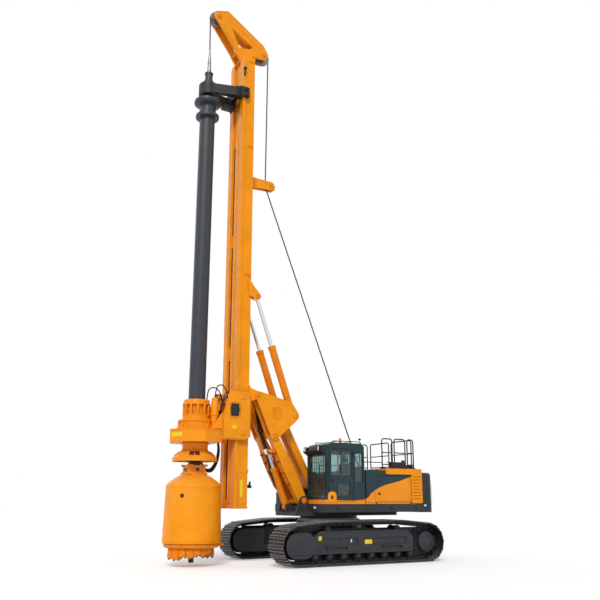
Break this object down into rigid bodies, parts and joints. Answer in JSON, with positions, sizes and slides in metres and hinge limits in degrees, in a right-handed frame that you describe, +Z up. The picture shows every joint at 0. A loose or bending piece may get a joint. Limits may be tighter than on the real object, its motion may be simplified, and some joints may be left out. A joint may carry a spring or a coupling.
{
  "type": "rotary piling rig",
  "caption": "Tracked rotary piling rig: slewing cab and house, parallel boom linkage with a tilting mast, rotary drive, kelly bar and drilling bucket.",
  "frame": {"origin": "on the ground, on the axis about which the upper works slew", "axes": "+X forward towards the drilling tool, +Y left towards the cab, +Z up"},
  "size_m": [7.82, 4.1, 17.09],
  "materials": {
    "yellow": "gloss paint",
    "teal": "gloss paint",
    "grey": "satin paint",
    "black": "satin paint",
    "kelly": "satin paint over tube steel",
    "track": "worn steel",
    "chrome": "polished",
    "glass": "clear",
    "amber": "clear amber",
    "cloth": "woven",
    "steel": "bare steel"
  },
  "bodies": {
    "undercarriage": {"carbody": "black", "left_track": "track", "right_track": "track", "left_track_frame": "grey", "right_track_frame": "grey", "left_idler": "track", "right_idler": "track", "left_sprocket": "grey", "right_sprocket": "grey"},
    "upperstructure": {"slew_frame": "grey", "engine_house": "teal", "rear_cowl": "yellow", "counterweight": "grey", "cab_shell": "teal", "windscreen": "glass", "rear_window": "glass", "quarter_window": "glass", "side_window": "glass", "operator_seat": "cloth", "cab_console": "black", "cab_visor": "black", "beacon": "amber", "handrails": "grey", "air_box": "black", "exhaust_stack": "black", "engine_block": "black", "fuel_tank": "teal", "step_box": "black"},
    "winch": {"winch_drum": "steel"},
    "cab_door_leaf": {"cab_door": "teal", "door_window": "glass", "door_low_window": "glass"},
    "service_door_leaf": {"service_door": "yellow"},
    "boom_frame": {"boom": "yellow"},
    "level_link": {"rear_link": "yellow"},
    "triangle_frame": {"mast_triangle": "yellow"},
    "luff_cylinder": {"luff_barrel": "yellow"},
    "luff_piston": {"luff_rod": "chrome"},
    "left_tilt_cylinder": {"left_mast_barrel": "yellow"},
    "left_tilt_piston": {"left_mast_rod": "chrome"},
    "right_tilt_cylinder": {"right_mast_barrel": "yellow"},
    "right_tilt_piston": {"right_mast_rod": "chrome"},
    "mast_column": {"mast": "yellow", "mast_head": "yellow"},
    "head_front_pulley": {"front_sheave": "yellow"},
    "head_rear_pulley": {"rear_sheave": "yellow"},
    "arm_pulley": {"arm_sheave": "yellow"},
    "rotary_drive": {"drive_carriage": "yellow", "rotary_gearbox": "yellow"},
    "turning_sleeve": {"drive_sleeve": "yellow"},
    "kelly_hanger": {"kelly_guide": "kelly", "rope_swivel": "kelly"},
    "kelly_string": {"kelly_bar": "kelly", "drilling_bucket": "yellow"},
    "bucket_bottom": {"bucket_floor": "yellow"}
  },
  "joints": [
    {"name": "slew", "type": "hinge", "parent": "undercarriage", "child": "upperstructure", "pos_m": [0, 0, 1.245], "axis": [0, 0, 1], "continuous": true},
    {"name": "cab_door_hinge", "type": "hinge", "parent": "upperstructure", "child": "cab_door_leaf", "pos_m": [0.066, 1.52, 1.64], "axis": [0, 0, 1], "range_deg": [0, 150]},
    {"name": "service_door_hinge", "type": "hinge", "parent": "upperstructure", "child": "service_door_leaf", "pos_m": [-1.934, 1.49, 1.63], "axis": [0, 0, 1], "range_deg": [0, 100]},
    {"name": "winch_spin", "type": "hinge", "parent": "upperstructure", "child": "winch", "pos_m": [-1.64, 0, 2.06], "axis": [0, 1, 0], "continuous": true},
    {"name": "boom_luff", "type": "hinge", "parent": "upperstructure", "child": "boom_frame", "pos_m": [1.15, 0, 1.66], "axis": [0, 1, 0], "range_deg": [0, 12]},
    {"name": "link_swing", "type": "hinge", "parent": "upperstructure", "child": "level_link", "pos_m": [0.68, 0, 2.08], "axis": [0, 1, 0], "range_deg": [0, 12]},
    {"name": "triangle_level", "type": "hinge", "parent": "boom_frame", "child": "triangle_frame", "pos_m": [2.09, 0, 3.44], "axis": [0, 1, 0], "range_deg": [-12, 0]},
    {"name": "luff_cylinder_swing", "type": "hinge", "parent": "upperstructure", "child": "luff_cylinder", "pos_m": [1.43, 0, 1.5], "axis": [0, 1, 0], "range_deg": [0, 12]},
    {"name": "luff_cylinder_stroke", "type": "slide", "parent": "luff_cylinder", "child": "luff_piston", "axis": [0.3578, 0, 0.9338], "range_m": [-0.1, 0]},
    {"name": "mast_tilt", "type": "hinge", "parent": "triangle_frame", "child": "mast_column", "pos_m": [2.62, 0, 4.57], "axis": [0, 1, 0], "range_deg": [-15, 5]},
    {"name": "left_tilt_cylinder_swing", "type": "hinge", "parent": "triangle_frame", "child": "left_tilt_cylinder", "pos_m": [1.44, 0.4, 4.03], "axis": [0, 1, 0], "range_deg": [-13, 5]},
    {"name": "left_tilt_cylinder_stroke", "type": "slide", "parent": "left_tilt_cylinder", "child": "left_tilt_piston", "axis": [0.335, 0, 0.9422], "range_m": [-0.3, 0.12]},
    {"name": "right_tilt_cylinder_swing", "type": "hinge", "parent": "triangle_frame", "child": "right_tilt_cylinder", "pos_m": [1.44, -0.4, 4.03], "axis": [0, 1, 0], "range_deg": [-13, 5]},
    {"name": "right_tilt_cylinder_stroke", "type": "slide", "parent": "right_tilt_cylinder", "child": "right_tilt_piston", "axis": [0.335, 0, 0.9422], "range_m": [-0.3, 0.12]},
    {"name": "front_pulley_spin", "type": "hinge", "parent": "mast_column", "child": "head_front_pulley", "pos_m": [4.065, 0, 16.79], "axis": [0, 1, 0], "continuous": true},
    {"name": "rear_pulley_spin", "type": "hinge", "parent": "mast_column", "child": "head_rear_pulley", "pos_m": [2.44, 0, 15.86], "axis": [0, 1, 0], "continuous": true},
    {"name": "arm_pulley_spin", "type": "hinge", "parent": "mast_column", "child": "arm_pulley", "pos_m": [2.08, 0, 11.31], "axis": [0, 1, 0], "continuous": true},
    {"name": "drive_feed", "type": "slide", "parent": "mast_column", "child": "rotary_drive", "axis": [0, 0, 1], "range_m": [0, 3]},
    {"name": "sleeve_spin", "type": "hinge", "parent": "rotary_drive", "child": "turning_sleeve", "pos_m": [4.28, 0, 3.19], "axis": [0, 0, 1], "continuous": true},
    {"name": "kelly_lower", "type": "slide", "parent": "mast_column", "child": "kelly_hanger", "axis": [0, 0, 1], "range_m": [-4, 0]},
    {"name": "kelly_spin", "type": "hinge", "parent": "kelly_hanger", "child": "kelly_string", "pos_m": [4.28, 0, 13.6], "axis": [0, 0, 1], "continuous": true},
    {"name": "bucket_floor_hinge", "type": "hinge", "parent": "kelly_string", "child": "bucket_bottom", "pos_m": [3.46, 0, 0.53], "axis": [0, 1, 0], "range_deg": [0, 50]}
  ],
  "couplings": [
    {"joint": "link_swing", "follows": "boom_luff", "ratio": 1},
    {"joint": "triangle_level", "follows": "boom_luff", "ratio": -1},
    {"joint": "luff_cylinder_swing", "follows": "boom_luff", "ratio": 0.98518},
    {"joint": "luff_cylinder_stroke", "follows": "boom_luff", "m_per_rad": -0.32116},
    {"joint": "sleeve_spin", "follows": "kelly_spin", "ratio": 1},
    {"joint": "left_tilt_cylinder_swing", "follows": "mast_tilt", "ratio": 0.76622},
    {"joint": "left_tilt_cylinder_stroke", "follows": "mast_tilt", "m_per_rad": 0.98684},
    {"joint": "right_tilt_cylinder_swing", "follows": "mast_tilt", "ratio": 0.76622},
    {"joint": "right_tilt_cylinder_stroke", "follows": "mast_tilt", "m_per_rad": 0.98684}
  ]
}
